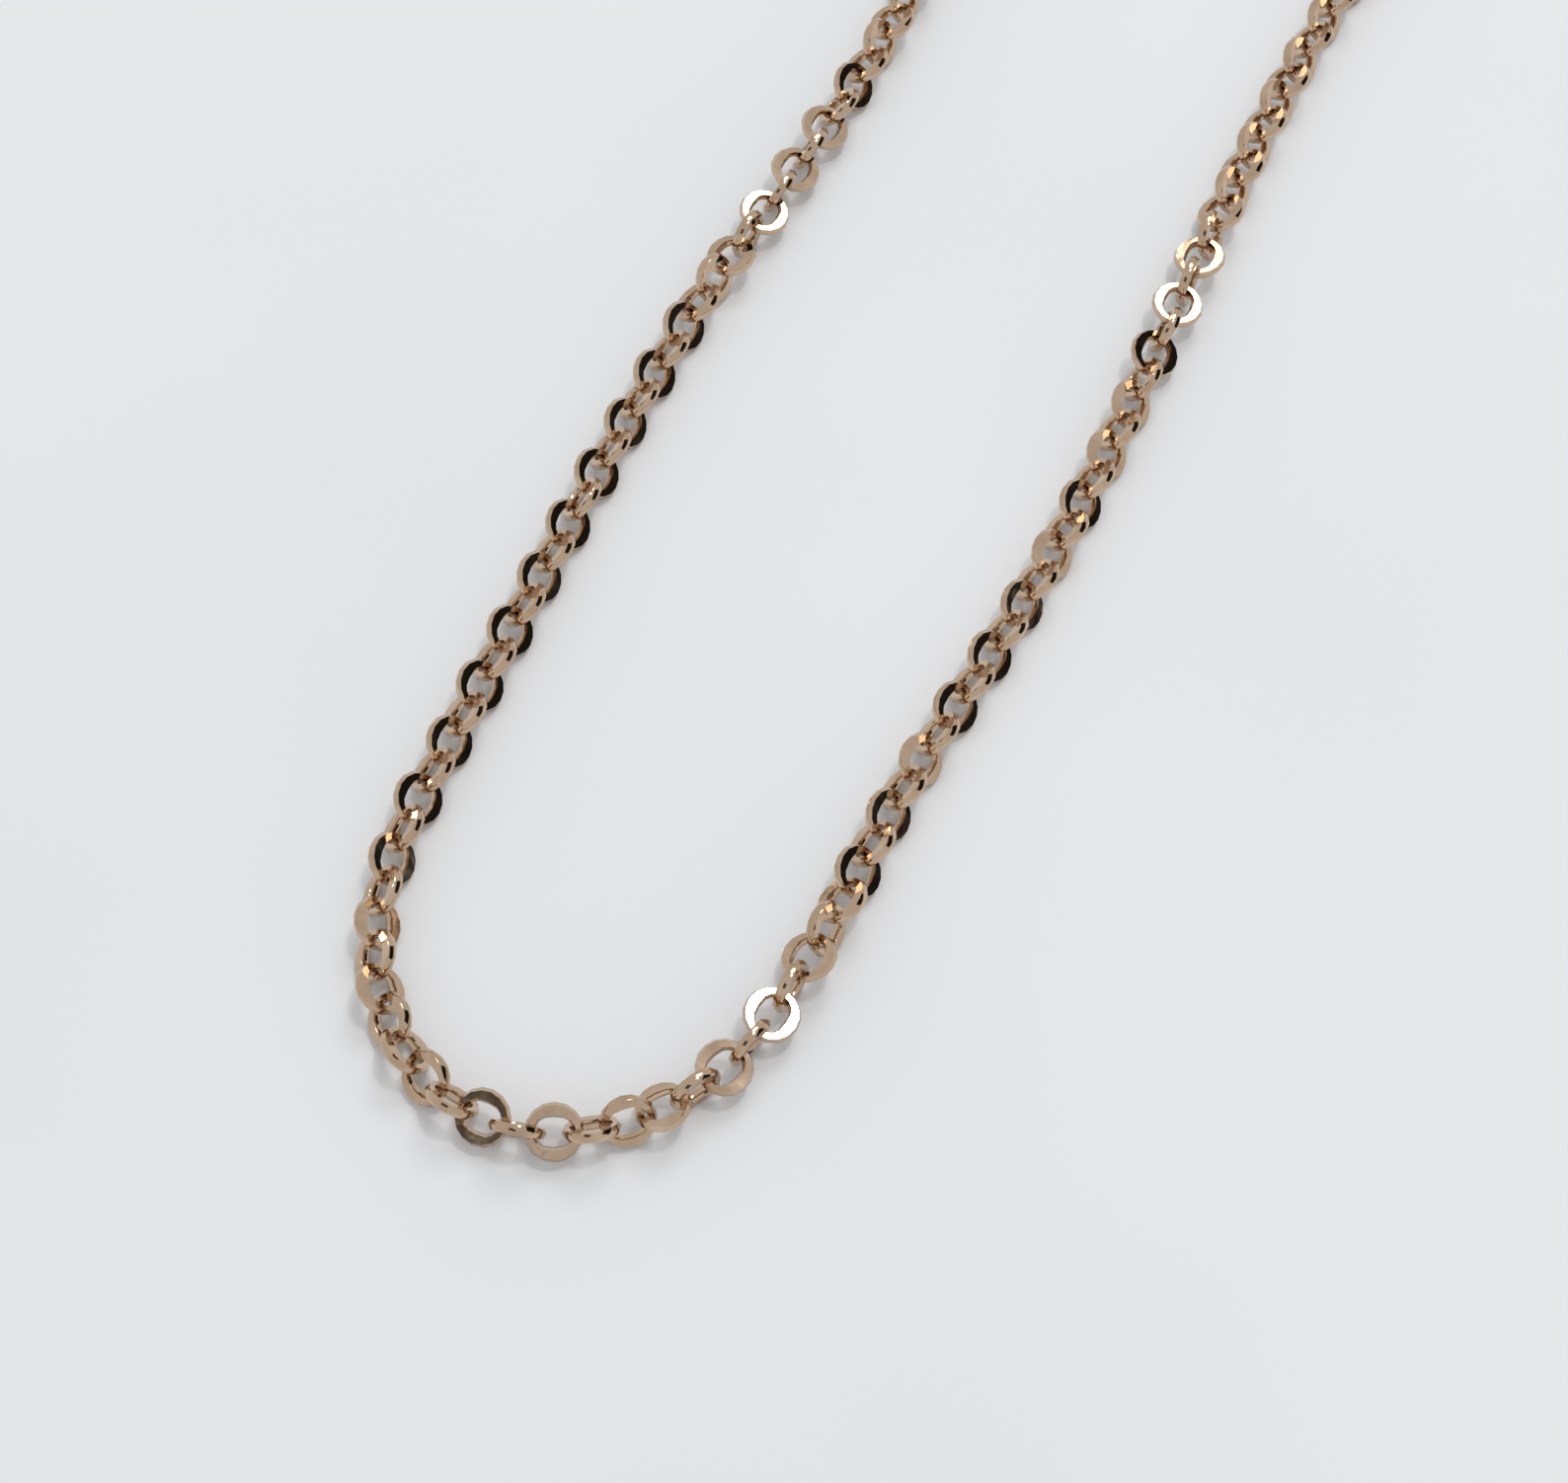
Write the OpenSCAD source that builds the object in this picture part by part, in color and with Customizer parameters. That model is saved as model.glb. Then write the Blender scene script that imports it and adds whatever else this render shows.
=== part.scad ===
// Flat cable chain necklace with a spring ring clasp, lying undone on a table.
// Round links with flat cut faces hang in each other at right angles. The chain
// bends round its front and both strands run up to the ends, where the clasp
// and the catch tab lie a few millimetres apart.
// Millimetres. +Z is up and the table is z = 0. +Y runs from the front of the
// necklace to its ends. The origin is on the table, under the middle of the
// laid out necklace.

/* [Links] */
// Outside width of a link
link_w = 1.8; // [1.76:0.02:1.84]
// Thickness of a link between its two cut faces
link_t = 0.32; // [0.28:0.02:0.34]
// Width of a link's hole, across the chain
hole_w = 0.88; // [0.84:0.02:0.92]
// Distance from link to link along the chain
pitch = 1.125; // [1.115:0.005:1.135]
// Play between two links, so that the chain moves freely
play = 0.03; // [0.02:0.005:0.04]
// Radius of the wire's edges beside the cut faces
edge_r = 0.2; // [0.18:0.01:0.22]

/* [Runs] */
// Number of short runs in the left strand, from the front outwards
left_short_runs = 8; // [4:1:8]
// Number of short runs in the right strand, from the front outwards
right_short_runs = 9; // [4:1:9]
// Number of long runs after the short ones, in each strand
long_runs = 11; // [6:1:11]

/* [Jump rings] */
// Wire thickness of a jump ring
ring_wire = 0.36; // [0.34:0.01:0.37]
// Outside width of a jump ring
ring_w = 1.96; // [1.94:0.01:1.98]

/* [Clasp] */
// Outside width of the spring ring
clasp_w = 5.4; // [5.2:0.1:5.6]
// Thickness of the spring ring's tube
tube_w = 1.24; // [1.2:0.02:1.3]
// Wall of the tube
tube_wall = 0.12; // [0.1:0.01:0.14]
// Opening of the ring that the bolt closes, in degrees
mouth = 60; // [50:1:64]
// Room between the bolt and the tube
bolt_play = 0.05; // [0.03:0.01:0.08]

/* [Catch tab] */
// Thickness of the tab
tab_t = 0.3; // [0.26:0.02:0.34]
// Radius of the hole that the clasp catches
catch_r = 1.0; // [0.9:0.05:1.1]
// Distance between the tab's two holes
tab_reach = 4; // [3.6:0.1:4.4]

/* [Hidden] */
$fn = 48;

// The two strands, from the front link outwards. Each row is one stretch:
// number of links, degrees that it turns inwards, degrees that it twists.
left_route = [
    [2, 23, 17], [5, 45, 0], [4, 20, 0], [10, 0, 0], [8, 3, 0], [3, 6, -37],
    [2, -2, -26], [4, -2, -7], [2, -1, -27], [3, -2, -13],
    [20, -52, 3], [26, 0, 0], [77, 142, 0], [6, 0, 17]];
right_route = [
    [2, 26, -3], [5, 42, 75], [2, 15, 0], [5, 7, -55], [6, -7, 0], [12, 8, 0],
    [4, 0, -35], [5, 0, -45], [9, -5, -5],
    [18, -53, -22], [20, 0, 0], [78, 147, 0], [6, 0, 17]];
// Twist of the front link
front_roll = 28;

// Links in each run: a short run has 6 or 5 links in turn, a long one 12 or 11
short_run = [6, 5];
long_run = [12, 11];
// How far the shape of a hole reaches past the faces that it opens
cut = 0.02;

edge_ring = link_w/2 - edge_r;
hole_l = pitch + play;
hole_shift = (hole_l - hole_w)/2;
ring_r = (ring_w - ring_wire)/2;
tube_ring = (clasp_w - tube_w)/2;
bore_r = tube_w/2 - tube_wall;
bolt_r = bore_r - bolt_play;

// The jump ring's near wire hangs in the last link's hole
ring_x = ring_r - ring_wire/2 - play;
// Height of a jump ring's middle while it leans half way over
ring_z = ring_r*cos(45) + ring_wire/2;
// The clasp's eye and the tab's eye hang in the jump ring's far side
eye_r = 0.9;
eye_wire = 0.26;
eye_reach = 0.83;
eye_at = ring_x + eye_reach;
// Depth of the solder between the eye and the tube
solder = 0.09;
eye_x = solder - clasp_w/2 - eye_r - eye_wire/2;
clasp_x = eye_at - eye_x;

// Angles round the spring ring, from the side away from the eye
mouth_from = 10;
bolt_bite = 8;
bolt_held = 25;
bolt_to = mouth_from + mouth + bolt_held;
spring_span = 95;
spring_gap = 1;
spring_to = bolt_to + spring_span;
plug = 6;
travel = mouth + 4;
peg_back = 9;
peg_at = bolt_to - peg_back;
slot_room = 5;
slot_w = 0.36;
peg_r = 0.14;
peg_l = 1.1;
peg_knob = 0.26;
spring_play = 0.02;
spring_r = bolt_r - spring_play;
spring_wire = 0.16;

tab_eye = 0.75;
tab_rim = 0.3;
catch_rim = 0.45;
// The tab's far edge rests on the table
tab_slope = asin((ring_z - tab_t/2)/(tab_reach + catch_r + catch_rim));

// ---- route ----

// One value per link: the column's share of each stretch
function per_link(route, column) =
    [for (s = route) for (i = [1:s[0]]) s[column]/s[0]];

// Running sums of v, starting from first
function sums(v, first) =
    [for (i = 0, a = first; i <= len(v); a = a + (i < len(v) ? v[i] : 0), i = i + 1) a];

// Height of the chain's middle where its links are twisted by roll: the
// steeper one of two neighbouring links stands on the table
function height(roll) = edge_r + edge_ring*max(abs(cos(roll)), abs(sin(roll)));

// One strand on the right hand side: [point, heading, slope, roll] per link,
// where the point is the end of the link nearer to the front, and every second
// link is turned by a right angle
function strand(route, roll_0) =
    let (
        turns = sums(per_link(route, 1), 0),
        rolls = sums(per_link(route, 2), roll_0),
        n = len(turns) - 1,
        ends = [for (i = [0:n]) (height(rolls[i]) + height(rolls[min(i + 1, n)]))/2],
        slopes = [for (i = [1:n]) asin((ends[i] - ends[i - 1])/pitch)],
        xs = sums([for (i = [1:n]) pitch*cos(slopes[i - 1])*cos(turns[i])], pitch/2),
        ys = sums([for (i = [1:n]) pitch*cos(slopes[i - 1])*sin(turns[i])], 0)
    )
    [for (i = [1:n])
        [[xs[i - 1], ys[i - 1], ends[i - 1]], turns[i], slopes[i - 1], rolls[i] + 90*(i % 2)]];

right_strand = strand(right_route, front_roll);
left_strand = strand(left_route, front_roll);
front_link = [[-pitch/2, 0, height(front_roll)], 0, 0, front_roll];
every_link = concat([front_link], left_strand, right_strand);

// Middle and outer end of a link
function middle(link) = link[0] + pitch/2*along(link);
function outer_end(link) = link[0] + pitch*along(link);
function along(link) =
    [cos(link[2])*cos(link[1]), cos(link[2])*sin(link[1]), sin(link[2])];
// Half sizes of a link across the table, with its tilt
function half_x(link) = edge_r + edge_ring*sqrt(1 - pow(sin(link[1])*sin(link[3]), 2));
function half_y(link) = edge_r + edge_ring*sqrt(1 - pow(cos(link[1])*sin(link[3]), 2));
// Half height of a link: it touches down on its round edge, or on its face's rim
// if it lies nearly flat
face_r = edge_ring + sqrt(pow(edge_r, 2) - pow(link_t/2, 2));
function half_z(link) =
    let (up = abs(cos(link[2])*cos(link[3])), steep = sqrt(1 - up*up))
    up*edge_r <= link_t/2 ? edge_r + edge_ring*steep : face_r*steep + up*link_t/2;

left_end = left_strand[len(left_strand) - 1];
right_end = right_strand[len(right_strand) - 1];
right_x = max([for (k = right_strand) middle(k).x + half_x(k)]);
left_x = max([for (k = left_strand) middle(k).x + half_x(k)]);
front_y = min([for (k = every_link) middle(k).y - half_y(k)]);
lowest = min([for (k = every_link) middle(k).z - half_z(k)]);
back_y = outer_end(left_end).y + clasp_w/2;
// Brings the middle of the laid out necklace to the origin and its lowest link
// to the table
shift = [(left_x - right_x)/2, -(front_y + back_y)/2, -lowest];

// ---- runs ----

function run_sizes(short_runs) = concat(
    [for (i = [0:short_runs - 1]) short_run[i % 2]],
    [for (i = [0:long_runs - 1]) long_run[i % 2]]);
left_sizes = run_sizes(left_short_runs);
right_sizes = run_sizes(right_short_runs);
left_starts = sums(left_sizes, 0);
right_starts = sums(right_sizes, 0);
left_runs = len(left_sizes);
right_runs = len(right_sizes);
// Every strand's last run takes the links that are left
left_count = len(left_strand);
right_count = len(right_strand);

function two_digits(i) = str(i < 10 ? "0" : "", i);
function left_name(i) = str("chain_left_", two_digits(i));
function right_name(i) = str("chain_right_", two_digits(i));

// ---- links ----

// Disc with rounded rim, before the hole
module link_blank() {
    rotate_extrude() intersection() {
        translate([0, -link_t/2]) square([link_w/2, link_t]);
        union() {
            translate([0, -link_t/2]) square([edge_ring, link_t]);
            translate([edge_ring, 0]) circle(edge_r);
        }
    }
}

// Half section of the hole, with the wire's round edge left out of it
module hole_section() {
    tall = link_t/2 + cut;
    difference() {
        translate([0, -tall]) square([hole_w/2 + edge_r, 2*tall]);
        translate([hole_w/2 + edge_r, 0]) circle(edge_r);
    }
}

// Oval hole: a round end on each side and a straight stretch between
module link_hole() {
    for (end = [0, 180])
        rotate([0, 0, end]) translate([hole_shift, 0, 0])
            rotate([0, 0, -90]) rotate_extrude(angle = 180) hole_section();
    rotate([90, 0, 90]) linear_extrude(2*hole_shift, center = true) {
        hole_section();
        mirror([1, 0]) hole_section();
    }
}

module link() {
    difference() {
        link_blank();
        link_hole();
    }
}

// Moves a shape drawn at the chain's middle, +X outwards, to one link's place
module at_link(place, side) {
    translate(shift) mirror([side < 0 ? 1 : 0, 0, 0])
        translate(place[0]) rotate([0, -place[2], place[1]]) children();
}

module chain_run(places, side, first, last) {
    color("#c98f72")
        for (i = [first:last])
            at_link(places[i], side)
                translate([pitch/2, 0, 0])
                    rotate([places[i][3], 0, 0]) link();
}

module chain_front() {
    color("#c98f72")
        translate(shift + [0, 0, height(front_roll)]) rotate([front_roll, 0, 0]) link();
}

module chain_left(i) {
    chain_run(left_strand, -1, left_starts[i - 1],
        i == left_runs ? left_count - 1 : left_starts[i] - 1);
}

module chain_right(i) {
    chain_run(right_strand, 1, right_starts[i - 1],
        i == right_runs ? right_count - 1 : right_starts[i] - 1);
}

// ---- ends ----

// Moves a shape drawn on the table with the strand's end at the origin, +X outwards
module at_end(link, side) {
    end = outer_end(link);
    translate(shift) mirror([side < 0 ? 1 : 0, 0, 0])
        translate([end.x, end.y, 0]) rotate([0, 0, link[1]]) children();
}

module wire_ring(r, wire) {
    rotate_extrude() translate([r, 0]) circle(wire/2);
}

// Leans the way the next link would, with its lowest point on the table
module jump_ring(link, side) {
    color("#c98f72")
        at_end(link, side)
            translate([ring_x, 0, ring_z]) rotate([link[3] + 90, 0, 0])
                wire_ring(ring_r, ring_wire);
}

module jump_ring_left() { jump_ring(left_end, -1); }
module jump_ring_right() { jump_ring(right_end, 1); }

// Moves a shape drawn round the middle of the spring ring, eye at -X
module at_clasp() {
    at_end(left_end, -1) translate([clasp_x, 0, tube_w/2]) children();
}

// Part of a ring between two angles, with the given section at the tube's middle
module arc(from, to) {
    rotate([0, 0, from]) rotate_extrude(angle = to - from) translate([tube_ring, 0]) children();
}

// Hollow ring with its mouth, a plug behind the spring, a slot for the thumb
// peg and the eye that the jump ring hangs in
module clasp_case() {
    color("#c98f72") at_clasp() difference() {
        union() {
            arc(mouth_from + mouth, mouth_from + 360) difference() {
                circle(tube_w/2);
                circle(bore_r);
            }
            arc(spring_to, spring_to + plug) circle(bore_r + tube_wall/2);
            translate([eye_x, 0, 0]) wire_ring(eye_r, eye_wire);
        }
        arc(peg_at - slot_room, peg_at + travel + slot_room)
            translate([bore_r/2, -slot_w/2]) square([tube_w, slot_w]);
    }
}

// Curved rod that closes the mouth, with the peg that the thumb pulls
module clasp_bolt() {
    color("#c98f72") at_clasp() {
        arc(mouth_from - bolt_bite, bolt_to) circle(bolt_r);
        rotate([0, 0, peg_at]) translate([tube_ring, 0, 0]) {
            rotate([0, 90, 0]) cylinder(h = peg_l, r = peg_r);
            translate([peg_l, 0, 0]) sphere(peg_knob);
        }
    }
}

// The coil spring's outer shape, round the tube behind the bolt
module clasp_spring() {
    color("silver") at_clasp() arc(bolt_to + spring_gap, spring_to - spring_gap) difference() {
        circle(spring_r);
        circle(spring_r - spring_wire);
    }
}

// Flat tab that slopes down from the jump ring to the table
module catch_tab() {
    color("#c98f72") at_end(right_end, 1)
        translate([eye_at, 0, ring_z]) rotate([0, tab_slope, 0])
            linear_extrude(tab_t, center = true) difference() {
                union() {
                    circle(tab_eye + tab_rim);
                    translate([0, -tab_eye - tab_rim/2]) square([tab_reach, 2*tab_eye + tab_rim]);
                    translate([tab_reach, 0]) circle(catch_r + catch_rim);
                }
                circle(tab_eye);
                translate([tab_reach, 0]) circle(catch_r);
            }
}

chain_front();
for (i = [1:left_runs]) chain_left(i);
for (i = [1:right_runs]) chain_right(i);
jump_ring_left();
clasp_case();
clasp_bolt();
clasp_spring();
jump_ring_right();
catch_tab();
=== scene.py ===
"""Looks of a flat cable chain necklace: rose gold links, a spring ring clasp and a catch tab."""

import logging
import math
import random
from dataclasses import dataclass, field
from enum import Enum

import bpy
import numpy as np
from mathutils import Matrix, Vector


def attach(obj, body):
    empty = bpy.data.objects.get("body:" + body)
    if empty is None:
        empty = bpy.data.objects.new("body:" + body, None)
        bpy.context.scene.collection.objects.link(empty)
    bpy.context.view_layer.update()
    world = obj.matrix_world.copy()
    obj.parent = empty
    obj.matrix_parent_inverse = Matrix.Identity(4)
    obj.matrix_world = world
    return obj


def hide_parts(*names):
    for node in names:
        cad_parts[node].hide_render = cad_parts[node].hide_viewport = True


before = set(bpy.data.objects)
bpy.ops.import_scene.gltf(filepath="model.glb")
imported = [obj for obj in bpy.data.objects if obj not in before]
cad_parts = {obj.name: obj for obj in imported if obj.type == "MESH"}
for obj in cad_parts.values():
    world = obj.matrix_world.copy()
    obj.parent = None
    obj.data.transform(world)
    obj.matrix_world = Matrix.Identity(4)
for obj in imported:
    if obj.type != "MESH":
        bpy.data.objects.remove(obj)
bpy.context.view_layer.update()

MM = 0.001
# Nearly all of a noise texture's values lie between these two.
NOISE_LOW = 0.3
NOISE_HIGH = 0.7
log = logging.getLogger("necklace")


class Side(Enum):
    """The two strands of the chain."""

    LEFT = "left"
    RIGHT = "right"


class Pattern(Enum):
    """What a finish takes its pattern's place from."""

    LINK = "UV"
    SOLID = "Object"


def deselect_all() -> None:
    """Leaves edit mode and selects nothing."""
    if bpy.context.object and bpy.context.object.mode != "OBJECT":
        bpy.ops.object.mode_set(mode="OBJECT")
    bpy.ops.object.select_all(action="DESELECT")


def direction(azimuth: float, elevation: float) -> Vector:
    """Turns two angles into a direction.

    Args:
        azimuth: Degrees from +X towards +Y.
        elevation: Degrees above the table.

    Returns:
        A vector of length one.
    """
    a, e = math.radians(azimuth), math.radians(elevation)
    return Vector((math.cos(a) * math.cos(e), math.sin(a) * math.cos(e), math.sin(e)))


# ---- finishes ----


class NodeBench:
    """Builds one material's nodes."""

    def __init__(self, name: str) -> None:
        """Starts an empty material.

        Args:
            name: The material's name.
        """
        self.material = bpy.data.materials.new(name)
        self.material.use_nodes = True
        self.tree = self.material.node_tree
        self.tree.nodes.clear()
        self.shader = self.add("ShaderNodeBsdfPrincipled")
        output = self.add("ShaderNodeOutputMaterial")
        self.join(self.shader, "BSDF", output, "Surface")

    def add(self, kind: str, **values: float | tuple) -> bpy.types.Node:
        """Adds a node.

        Args:
            kind: The node's type.
            **values: Values for its inputs, named with _ for a space.

        Returns:
            The new node.
        """
        made = self.tree.nodes.new(kind)
        for name, value in values.items():
            made.inputs[name.replace("_", " ")].default_value = value
        return made

    def join(self, source: bpy.types.Node, out: str, target: bpy.types.Node, into: str | int) -> None:
        """Links an output to an input."""
        self.tree.links.new(source.outputs[out], target.inputs[into])

    def ramp(self, source: bpy.types.Node, low: tuple, high: tuple) -> bpy.types.Node:
        """Adds a colour ramp behind a texture.

        Args:
            source: The texture, with an output named Fac.
            low: Colour where the texture is dark.
            high: Colour where the texture is bright.

        Returns:
            The ramp node.
        """
        made = self.tree.nodes.new("ShaderNodeValToRGB")
        marks = made.color_ramp.elements
        marks[0].position = NOISE_LOW
        marks[0].color = low
        marks[1].position = NOISE_HIGH
        marks[1].color = high
        self.join(source, "Fac", made, "Fac")
        return made

    def spread(self, source: bpy.types.Node, low: float, high: float) -> bpy.types.Node:
        """Maps a texture's middle range to low..high.

        Args:
            source: The texture, with an output named Fac.
            low: Result where the texture is dark.
            high: Result where the texture is bright.

        Returns:
            The map node, with an output named Result.
        """
        made = self.tree.nodes.new("ShaderNodeMapRange")
        made.inputs["From Min"].default_value = NOISE_LOW
        made.inputs["From Max"].default_value = NOISE_HIGH
        made.inputs["To Min"].default_value = low
        made.inputs["To Max"].default_value = high
        self.join(source, "Fac", made, "Value")
        return made


@dataclass(frozen=True)
class RoseGold:
    """Polished rose gold: mirror faces with faint waves and fine lapping lines."""

    name: str
    pattern: Pattern
    pale: tuple = (0.67, 0.505, 0.36, 1.0)
    deep: tuple = (0.55, 0.385, 0.26, 1.0)
    smooth: float = 0.04
    rough: float = 0.11
    mottle_per_m: float = 1500.0
    wave_per_m: float = 2600.0
    wave_height: float = 3.5e-6
    line_scale: float = 60.0
    line_height: float = 5e-7
    line_length: float = 0.06
    solid_lines_per_m: float = 500.0

    def build(self) -> bpy.types.Material:
        """Builds the material.

        Returns:
            The finished material.
        """
        bench = NodeBench(self.name)
        place = bench.add("ShaderNodeTexCoord")
        mottle = bench.add("ShaderNodeTexNoise", Scale=self.mottle_per_m, Detail=3.0)
        bench.join(place, "Object", mottle, "Vector")
        tint = bench.ramp(mottle, self.deep, self.pale)
        bench.join(tint, "Color", bench.shader, "Base Color")
        shine = bench.spread(mottle, self.smooth, self.rough)
        bench.join(shine, "Result", bench.shader, "Roughness")
        wave = bench.add("ShaderNodeTexNoise", Scale=self.wave_per_m, Detail=1.0)
        bench.join(place, "Object", wave, "Vector")
        stretch = bench.add("ShaderNodeMapping")
        stretch.inputs["Scale"].default_value = self._line_stretch()
        bench.join(place, self.pattern.value, stretch, "Vector")
        lines = bench.add("ShaderNodeTexNoise", Scale=1.0, Detail=2.0)
        bench.join(stretch, "Vector", lines, "Vector")
        low = bench.add("ShaderNodeBump", Strength=1.0, Distance=self.wave_height)
        bench.join(wave, "Fac", low, "Height")
        fine = bench.add("ShaderNodeBump", Strength=1.0, Distance=self.line_height)
        bench.join(lines, "Fac", fine, "Height")
        bench.join(low, "Normal", fine, "Normal")
        bench.join(fine, "Normal", bench.shader, "Normal")
        bench.shader.inputs["Metallic"].default_value = 1.0
        return bench.material

    def _line_stretch(self) -> tuple[float, float, float]:
        """Scale that draws the noise out into lines, in the pattern's own units."""
        across = self.line_scale * (1.0 if self.pattern is Pattern.LINK else self.solid_lines_per_m)
        return (across, across * self.line_length, across * self.line_length)


@dataclass(frozen=True)
class SpringSteel:
    """Drawn steel wire."""

    name: str = "spring_steel"
    dark: tuple = (0.42, 0.42, 0.44, 1.0)
    light: tuple = (0.66, 0.66, 0.67, 1.0)
    smooth: float = 0.25
    rough: float = 0.4
    grain_per_m: float = 6000.0
    grain_height: float = 1e-6

    def build(self) -> bpy.types.Material:
        """Builds the material.

        Returns:
            The finished material.
        """
        bench = NodeBench(self.name)
        place = bench.add("ShaderNodeTexCoord")
        grain = bench.add("ShaderNodeTexNoise", Scale=self.grain_per_m, Detail=3.0)
        bench.join(place, "Object", grain, "Vector")
        tint = bench.ramp(grain, self.dark, self.light)
        bench.join(tint, "Color", bench.shader, "Base Color")
        shine = bench.spread(grain, self.smooth, self.rough)
        bench.join(shine, "Result", bench.shader, "Roughness")
        bump = bench.add("ShaderNodeBump", Strength=1.0, Distance=self.grain_height)
        bench.join(grain, "Fac", bump, "Height")
        bench.join(bump, "Normal", bench.shader, "Normal")
        bench.shader.inputs["Metallic"].default_value = 1.0
        return bench.material


@dataclass(frozen=True)
class TablePaper:
    """Pale, slightly bluish paper with a faint tooth."""

    name: str = "table_paper"
    shade: tuple = (0.795, 0.805, 0.815, 1.0)
    light: tuple = (0.825, 0.832, 0.84, 1.0)
    smooth: float = 0.75
    rough: float = 0.9
    gloss: float = 0.2
    cloud_per_m: float = 40.0
    tooth_per_m: float = 1800.0
    tooth_height: float = 6e-6
    tooth_strength: float = 0.5

    def build(self) -> bpy.types.Material:
        """Builds the material.

        Returns:
            The finished material.
        """
        bench = NodeBench(self.name)
        place = bench.add("ShaderNodeTexCoord")
        cloud = bench.add("ShaderNodeTexNoise", Scale=self.cloud_per_m, Detail=2.0)
        bench.join(place, "Object", cloud, "Vector")
        tint = bench.ramp(cloud, self.shade, self.light)
        bench.join(tint, "Color", bench.shader, "Base Color")
        tooth = bench.add("ShaderNodeTexNoise", Scale=self.tooth_per_m, Detail=3.0)
        bench.join(place, "Object", tooth, "Vector")
        dull = bench.spread(tooth, self.smooth, self.rough)
        bench.join(dull, "Result", bench.shader, "Roughness")
        bump = bench.add("ShaderNodeBump", Strength=self.tooth_strength, Distance=self.tooth_height)
        bench.join(tooth, "Fac", bump, "Height")
        bench.join(bump, "Normal", bench.shader, "Normal")
        bench.shader.inputs["Specular IOR Level"].default_value = self.gloss
        return bench.material


# ---- chain ----


@dataclass(frozen=True)
class LinkPlace:
    """Where one link lies: its middle, the way along the chain and the way its face looks."""

    centre: Vector
    along: Vector
    face: Vector

    def matrix(self, roll: float) -> Matrix:
        """Place of a link that is drawn flat at the origin with the chain along X.

        Args:
            roll: Turn about the chain's length, in degrees.

        Returns:
            The transform to the link's place.
        """
        across = self.face.cross(self.along)
        turn = Matrix((self.along, across, self.face)).transposed().to_4x4()
        return Matrix.Translation(self.centre) @ turn @ Matrix.Rotation(math.radians(roll), 4, "X")


class LinkReader:
    """Finds the places of the separate links in a node's mesh."""

    # Corners nearer to each other than one part of this are the same corner.
    weld_per_m = 1e7

    def __init__(self, node: str) -> None:
        """Reads the node's triangles.

        Args:
            node: Name of a chain node.
        """
        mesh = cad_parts[node].data
        mesh.calc_loop_triangles()
        points = np.zeros(len(mesh.vertices) * 3)
        mesh.vertices.foreach_get("co", points)
        self.points = points.reshape(-1, 3)
        corners = np.zeros(len(mesh.loop_triangles) * 3, np.int64)
        mesh.loop_triangles.foreach_get("vertices", corners)
        self.triangles = corners.reshape(-1, 3)

    def places(self) -> list[LinkPlace]:
        """Splits the mesh into its solids and measures each one.

        Returns:
            One place per link, in the order of their middles from -Y to +Y.
        """
        group = self._groups()
        found = [self._measure(self.triangles[group == g]) for g in np.unique(group)]
        return sorted(found, key=lambda p: (p.centre.y, p.centre.x))

    def _groups(self) -> np.ndarray:
        """Gives every triangle the number of the solid that it belongs to.

        Returns:
            One number per triangle.
        """
        grid = np.round(self.points * self.weld_per_m).astype(np.int64)
        _, weld = np.unique(grid, axis=0, return_inverse=True)
        joined = weld.ravel()[self.triangles]
        label = np.arange(joined.max() + 1)
        while True:
            lowest = label[joined].min(axis=1)
            fresh = label.copy()
            np.minimum.at(fresh, joined.ravel(), np.repeat(lowest, 3))
            fresh = fresh[fresh]
            if np.array_equal(fresh, label):
                return label[joined[:, 0]]
            label = fresh

    def _measure(self, triangles: np.ndarray) -> LinkPlace:
        """Finds a link's middle and main directions from its surface.

        Args:
            triangles: The link's triangles.

        Returns:
            The link's place.
        """
        t = self.points[triangles]
        area = np.linalg.norm(np.cross(t[:, 1] - t[:, 0], t[:, 2] - t[:, 0]), axis=1)
        centre = (t.mean(axis=1) * area[:, None]).sum(axis=0) / area.sum()
        d = t - centre
        whole = np.einsum("nia,nib,n->ab", d, d, area)
        total = d.sum(axis=1)
        moment = whole + np.einsum("na,nb,n->ab", total, total, area)
        _, axes = np.linalg.eigh(moment / area.sum())
        face = Vector(axes[:, 0])
        along = Vector(axes[:, 1])
        face = face if face.z >= 0 else -face
        along = along if along.y >= 0 else -along
        return LinkPlace(Vector(centre), along, face)


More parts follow.
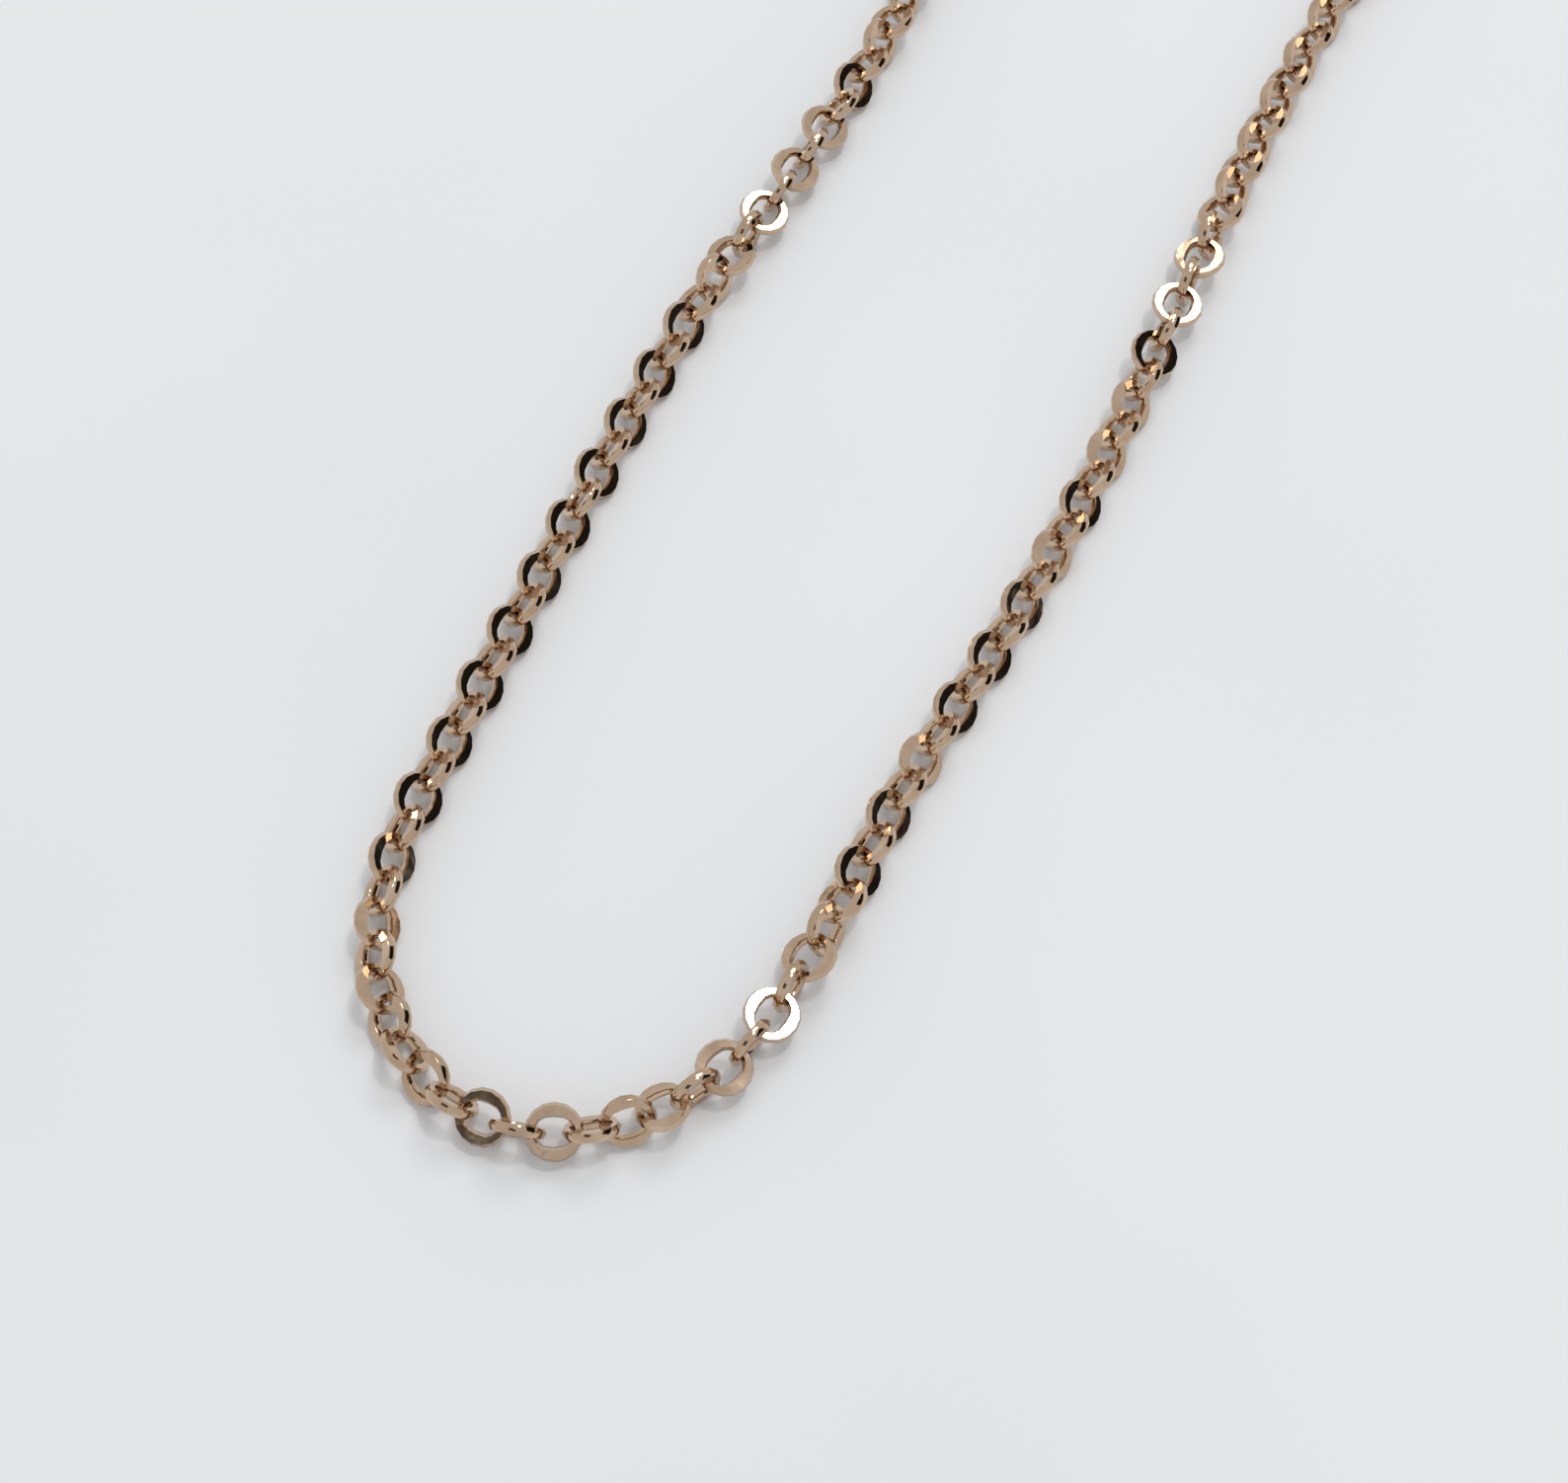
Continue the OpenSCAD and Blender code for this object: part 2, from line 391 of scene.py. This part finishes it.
@dataclass
class FlatLink:
    """One link, modelled once: a flat ring with a rounded rim and an oval hole."""

    steps: int = 16
    half_thick: float = 0.16 * MM
    face_out: float = 0.82 * MM
    rim_out: float = 0.90 * MM
    face_in: float = 0.52 * MM
    rim_in: float = 0.44 * MM
    hole_shift: float = 0.1375 * MM
    soft_angle: float = 58.0
    middle: float = 0.01 * MM
    pattern_width: float = 2 * MM
    body: bpy.types.Object | None = field(default=None, init=False)

    def build(self) -> None:
        """Models the ring round its section, loop by loop, and closes it."""
        deselect_all()
        # The corners stand a little outside the true circle and the sides a little inside it.
        fit = 1.0 / math.sqrt(math.cos(math.pi / self.steps))
        bpy.ops.mesh.primitive_circle_add(vertices=self.steps, radius=self.face_out * fit)
        self.body = bpy.context.object
        self.body.name = "link_template"
        bpy.ops.object.mode_set(mode="EDIT")
        bpy.ops.mesh.select_all(action="SELECT")
        bpy.ops.transform.translate(value=(0, 0, self.half_thick))
        self._next_loop(self.rim_out / self.face_out, -self.half_thick)
        self._next_loop(self.face_out / self.rim_out, -self.half_thick)
        self._next_loop(self.face_in / self.face_out, 0.0)
        self._next_loop(self.rim_in / self.face_in, self.half_thick)
        self._next_loop(self.face_in / self.rim_in, self.half_thick)
        bpy.ops.mesh.select_all(action="DESELECT")
        bpy.ops.mesh.select_non_manifold()
        bpy.ops.mesh.bridge_edge_loops()
        self._open_hole()
        bpy.ops.mesh.select_all(action="SELECT")
        bpy.ops.mesh.normals_make_consistent(inside=False)
        bpy.ops.object.mode_set(mode="OBJECT")
        bpy.ops.object.shade_smooth_by_angle(angle=math.radians(self.soft_angle))
        self._map_faces()

    def _next_loop(self, ratio: float, rise: float) -> None:
        """Extrudes the selected loop to a new width and height.

        Args:
            ratio: New radius over the old one.
            rise: Distance upwards.
        """
        bpy.ops.mesh.extrude_edges_move(TRANSFORM_OT_translate={"value": (0, 0, rise)})
        bpy.ops.transform.resize(value=(ratio, ratio, 1), center_override=(0, 0, 0))

    def _open_hole(self) -> None:
        """Moves the two halves of the hole apart, along the chain."""
        reach = (self.face_in + self.face_out) / 2
        for way in (1, -1):
            bpy.ops.mesh.select_all(action="DESELECT")
            bpy.ops.object.mode_set(mode="OBJECT")
            for v in self.body.data.vertices:
                v.select = v.co.xy.length < reach and v.co.x * way > self.middle
            bpy.ops.object.mode_set(mode="EDIT")
            bpy.ops.transform.translate(value=(way * self.hole_shift, 0, 0))

    def _map_faces(self) -> None:
        """Lays the pattern's coordinates flat over the link."""
        mesh = self.body.data
        layer = mesh.uv_layers.new(name="lapping")
        for loop in mesh.loops:
            p = mesh.vertices[loop.vertex_index].co
            layer.data[loop.index].uv = (0.5 + p.x / self.pattern_width, 0.5 + p.y / self.pattern_width)

    def copy_to(self, place: LinkPlace, roll: float) -> bpy.types.Object:
        """Makes one link of the chain.

        Args:
            place: Where it lies.
            roll: Its own small turn about the chain's length, in degrees.

        Returns:
            The new object, at the origin with its place in its mesh.
        """
        made = bpy.data.objects.new("link", self.body.data.copy())
        made.data.transform(place.matrix(roll))
        bpy.context.scene.collection.objects.link(made)
        return made

    def discard(self) -> None:
        """Takes the template away once every link is made."""
        bpy.data.objects.remove(self.body)


@dataclass
class ChainRun:
    """The neighbouring links that share a node."""

    node: str
    finish: bpy.types.Material
    loose: float = 4.5
    body: bpy.types.Object | None = field(default=None, init=False)
    count: int = field(default=0, init=False)

    def build(self, template: FlatLink) -> None:
        """Copies the link to every place and joins the run.

        Args:
            template: The link to copy.
        """
        chance = random.Random(self.node)
        made = [
            template.copy_to(place, chance.uniform(-self.loose, self.loose))
            for place in LinkReader(self.node).places()
        ]
        self.count = len(made)
        deselect_all()
        for link in made:
            link.select_set(True)
        bpy.context.view_layer.objects.active = made[0]
        if len(made) > 1:
            bpy.ops.object.join()
        self.body = bpy.context.view_layer.objects.active
        self.body.name = f"links_{self.node}"

    def dress(self) -> None:
        """Gives the run its finish and ties it to the body that carries it."""
        self.body.data.materials.clear()
        self.body.data.materials.append(self.finish)
        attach(self.body, self.node)
        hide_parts(self.node)


@dataclass
class Chain:
    """The whole chain: the front link and the runs of both strands."""

    finish: bpy.types.Material
    runs: list[ChainRun] = field(default_factory=list, init=False)

    def build(self) -> None:
        """Models the link and every run."""
        template = FlatLink()
        template.build()
        names = ["chain_front"] + [n for side in Side for n in self._strand(side)]
        for name in names:
            run = ChainRun(name, self.finish)
            run.build(template)
            self.runs.append(run)
        template.discard()

    def _strand(self, side: Side) -> list[str]:
        """Names of a strand's nodes, from the front outwards."""
        return sorted(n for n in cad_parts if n.startswith(f"chain_{side.value}_"))

    def dress(self) -> None:
        """Dresses every run and reports it."""
        for run in self.runs:
            run.dress()
            log.info("%s: %d links", run.node, run.count)


# ---- ends ----


@dataclass
class Fitting:
    """A group of findings whose shapes are kept as they are and get a finish."""

    label: str
    nodes: tuple[str, ...]
    finish: bpy.types.Material

    def dress(self) -> None:
        """Gives every node the finish and reports it."""
        for name in self.nodes:
            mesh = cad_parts[name].data
            if mesh.materials:
                mesh.materials[0] = self.finish
            else:
                mesh.materials.append(self.finish)
            log.info("%s: %s", self.label, name)


# ---- studio ----


@dataclass(frozen=True)
class Card:
    """A board out of view that only the metal's mirror faces see."""

    name: str
    azimuth: float
    elevation: float
    width: float
    height: float
    brightness: float
    distance: float = 0.6
    glow: tuple = (1.0, 0.97, 0.93, 1.0)

    def hang(self, aim: Vector) -> bpy.types.Object:
        """Hangs the board so that it faces the front of the necklace.

        Args:
            aim: The point that it faces.

        Returns:
            The board.
        """
        deselect_all()
        way = direction(self.azimuth, self.elevation)
        bpy.ops.mesh.primitive_plane_add(size=1, location=aim + way * self.distance)
        board = bpy.context.object
        board.name = self.name
        board.scale = (self.width, self.height, 1)
        board.rotation_euler = (-way).to_track_quat("-Z", "Y").to_euler()
        bpy.ops.object.transform_apply(location=False, rotation=False, scale=True)
        bench = NodeBench(self.name)
        bench.shader.inputs["Base Color"].default_value = (0, 0, 0, 1)
        bench.shader.inputs["Roughness"].default_value = 1.0
        bench.shader.inputs["Specular IOR Level"].default_value = 0.0
        bench.shader.inputs["Emission Color"].default_value = self.glow
        bench.shader.inputs["Emission Strength"].default_value = self.brightness
        board.data.materials.append(bench.material)
        board.visible_camera = False
        board.visible_diffuse = False
        board.visible_shadow = False
        return board


@dataclass(frozen=True)
class Lamp:
    """A soft round lamp that looks at the front of the necklace."""

    name: str
    azimuth: float
    elevation: float
    distance: float
    size: float
    power: float

    def hang(self, aim: Vector) -> bpy.types.Object:
        """Hangs the lamp so that it looks at the front of the necklace.

        Args:
            aim: The point that it looks at.

        Returns:
            The lamp.
        """
        way = direction(self.azimuth, self.elevation)
        data = bpy.data.lights.new(self.name, "AREA")
        data.shape = "DISK"
        data.size = self.size
        data.energy = self.power
        lamp = bpy.data.objects.new(self.name, data)
        lamp.location = aim + way * self.distance
        lamp.rotation_euler = (-way).to_track_quat("-Z", "Y").to_euler()
        bpy.context.scene.collection.objects.link(lamp)
        return lamp


class Studio:
    """Table, lights, boards and camera."""

    aim = Vector((2.627 * MM, -57.390 * MM, 0.0))
    turn = 25.08
    tilt = 28.545
    reach = 96.125 * MM
    lens = 68.01
    sensor_width = 36
    clip_start = 5 * MM
    clip_end = 10
    table_width = 3
    sky_colour = (0.975, 0.985, 1.0, 1.0)
    sky_strength = 0.68
    lamps = (
        Lamp("key_light", azimuth=63, elevation=70, distance=0.6, size=0.09, power=0.6),
        Lamp("fill_light", azimuth=95, elevation=50, distance=0.7, size=0.35, power=0.95),
    )
    cards = (
        Card("dark_right", azimuth=30, elevation=27, width=0.55, height=0.42, brightness=0.015),
        Card("dark_viewer", azimuth=-95, elevation=57, width=0.3, height=0.24, brightness=0.10),
    )

    def build(self) -> None:
        """Sets the whole studio up."""
        staged = [self._table()]
        staged += [lamp.hang(self.aim) for lamp in self.lamps]
        staged += [card.hang(self.aim) for card in self.cards]
        self._surroundings()
        self._camera()

    def _table(self) -> bpy.types.Object:
        """Lays the paper under the necklace.

        Returns:
            The table.
        """
        deselect_all()
        bpy.ops.mesh.primitive_plane_add(size=self.table_width)
        table = bpy.context.object
        table.name = "table"
        table.data.materials.append(TablePaper().build())
        return table

    def _surroundings(self) -> None:
        """Pale, even light from all round."""
        world = bpy.data.worlds.new("pale_room")
        bpy.context.scene.world = world
        world.use_nodes = True
        sky = world.node_tree.nodes["Background"]
        sky.inputs["Color"].default_value = self.sky_colour
        sky.inputs["Strength"].default_value = self.sky_strength
        bpy.context.scene.view_settings.view_transform = "Standard"

    def _camera(self) -> None:
        """Looks down at the front bend from the viewer's side."""
        a, t = math.radians(self.turn), math.radians(self.tilt)
        way = Vector((-math.sin(a) * math.sin(t), math.cos(a) * math.sin(t), -math.cos(t)))
        data = bpy.data.cameras.new("camera")
        data.sensor_width = self.sensor_width
        data.lens = self.lens
        data.clip_start = self.clip_start
        data.clip_end = self.clip_end
        camera = bpy.data.objects.new("camera", data)
        camera.location = self.aim - way * self.reach
        camera.rotation_euler = way.to_track_quat("-Z", "Y").to_euler()
        bpy.context.scene.collection.objects.link(camera)
        bpy.context.scene.camera = camera


def main() -> None:
    """Builds and dresses the necklace, piece by piece."""
    logging.basicConfig(level=logging.INFO, format="%(message)s")
    chain = Chain(RoseGold("rose_gold_links", Pattern.LINK).build())
    chain.build()
    chain.dress()
    solid_gold = RoseGold("rose_gold_findings", Pattern.SOLID).build()
    fittings = [
        Fitting("jump rings", ("jump_ring_left", "jump_ring_right"), solid_gold),
        Fitting("spring ring", ("clasp_case", "clasp_bolt"), solid_gold),
        Fitting("spring", ("clasp_spring",), SpringSteel().build()),
        Fitting("catch tab", ("catch_tab",), solid_gold),
    ]
    for fitting in fittings:
        fitting.dress()
    Studio().build()


if __name__ == "__main__":
    main()
